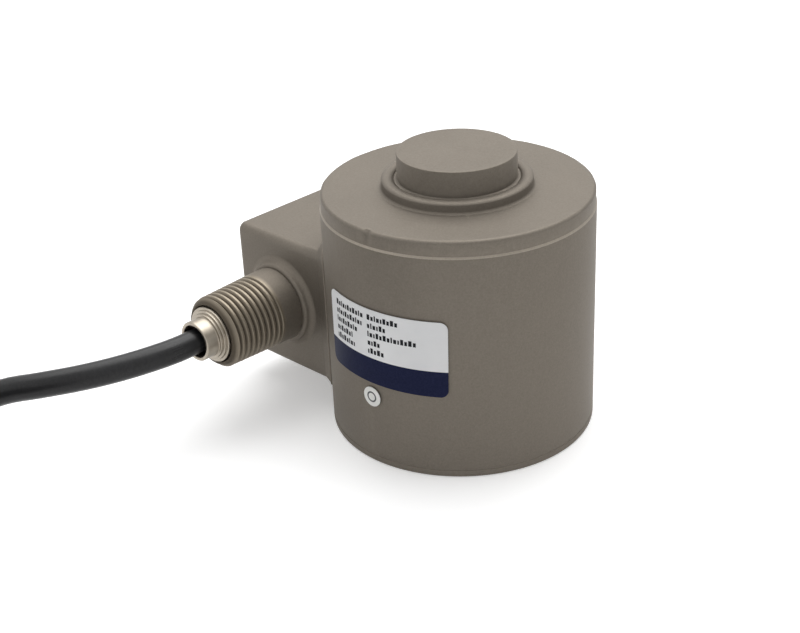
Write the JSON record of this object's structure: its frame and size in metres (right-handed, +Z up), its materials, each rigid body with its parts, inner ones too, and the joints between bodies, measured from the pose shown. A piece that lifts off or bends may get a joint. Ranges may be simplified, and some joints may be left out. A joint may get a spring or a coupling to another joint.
{
  "type": "column load cell",
  "caption": "Welded steel column load cell with a round load button, a side terminal housing, a pipe-threaded cable outlet and a coiled signal cable that ends in bare leads.",
  "frame": {"origin": "centre of the canister's bottom face, on the column's axis", "axes": "+Z up the column to the load button, -X towards the terminal housing, -Y the way the cable leaves"},
  "size_m": [0.1254, 0.2912, 0.0784],
  "materials": {
    "blasted_steel": "fine bead-blasted stainless steel, satin",
    "turned_steel": "fine-blasted or turned stainless steel",
    "nickel": "bright nickel plate with turning marks",
    "jacket": "smooth glossy black cable jacket",
    "seal_rubber": "matte black rubber",
    "board": "green board laminate",
    "gauge_film": "amber film",
    "glass_seal": "dark green sealing glass",
    "gold_pin": "gold plated",
    "resistor": "pale blue lacquer",
    "tie": "black strap",
    "label": "printed film, white with a dark blue band",
    "wire_red": "red insulation",
    "wire_black": "black insulation",
    "wire_green": "green insulation",
    "wire_white": "white insulation",
    "tinned": "tinned copper strand"
  },
  "bodies": {
    "root": {"canister_tube": "blasted_steel", "base_plate": "blasted_steel", "top_cover": "blasted_steel", "terminal_housing": "blasted_steel", "conduit_adaptor": "blasted_steel", "sensing_column": "turned_steel", "feedthrough_shell": "turned_steel", "gland_clamp_ring": "turned_steel", "board_screw_1": "turned_steel", "board_screw_2": "turned_steel", "board_screw_3": "turned_steel", "gland_body": "nickel", "board_spacer_1": "nickel", "board_spacer_2": "nickel", "board_spacer_3": "nickel", "cable": "jacket", "cable_coil": "jacket", "cable_tail": "jacket", "gland_grommet": "seal_rubber", "gland_o_ring": "seal_rubber", "bridge_board": "board", "terminal_board": "board", "strain_gauge_1": "gauge_film", "strain_gauge_2": "gauge_film", "strain_gauge_3": "gauge_film", "strain_gauge_4": "gauge_film", "feedthrough_glass": "glass_seal", "feedthrough_pin_1": "gold_pin", "feedthrough_pin_2": "gold_pin", "feedthrough_pin_3": "gold_pin", "feedthrough_pin_4": "gold_pin", "trim_resistor_1": "resistor", "trim_resistor_2": "resistor", "trim_resistor_3": "resistor", "trim_resistor_4": "resistor", "cable_tie_1": "tie", "cable_tie_2": "tie", "rating_label": "label", "inspection_dot": "label", "gauge_lead_1": "wire_red", "bridge_wire_1": "wire_red", "cable_conductor_1": "wire_red", "lead_red": "wire_red", "gauge_lead_2": "wire_black", "bridge_wire_2": "wire_black", "cable_conductor_2": "wire_black", "lead_black": "wire_black", "gauge_lead_3": "wire_green", "bridge_wire_3": "wire_green", "cable_conductor_3": "wire_green", "lead_green": "wire_green", "gauge_lead_4": "wire_white", "bridge_wire_4": "wire_white", "cable_conductor_4": "wire_white", "lead_white": "wire_white", "lead_shield": "tinned"}
  },
  "joints": []
}
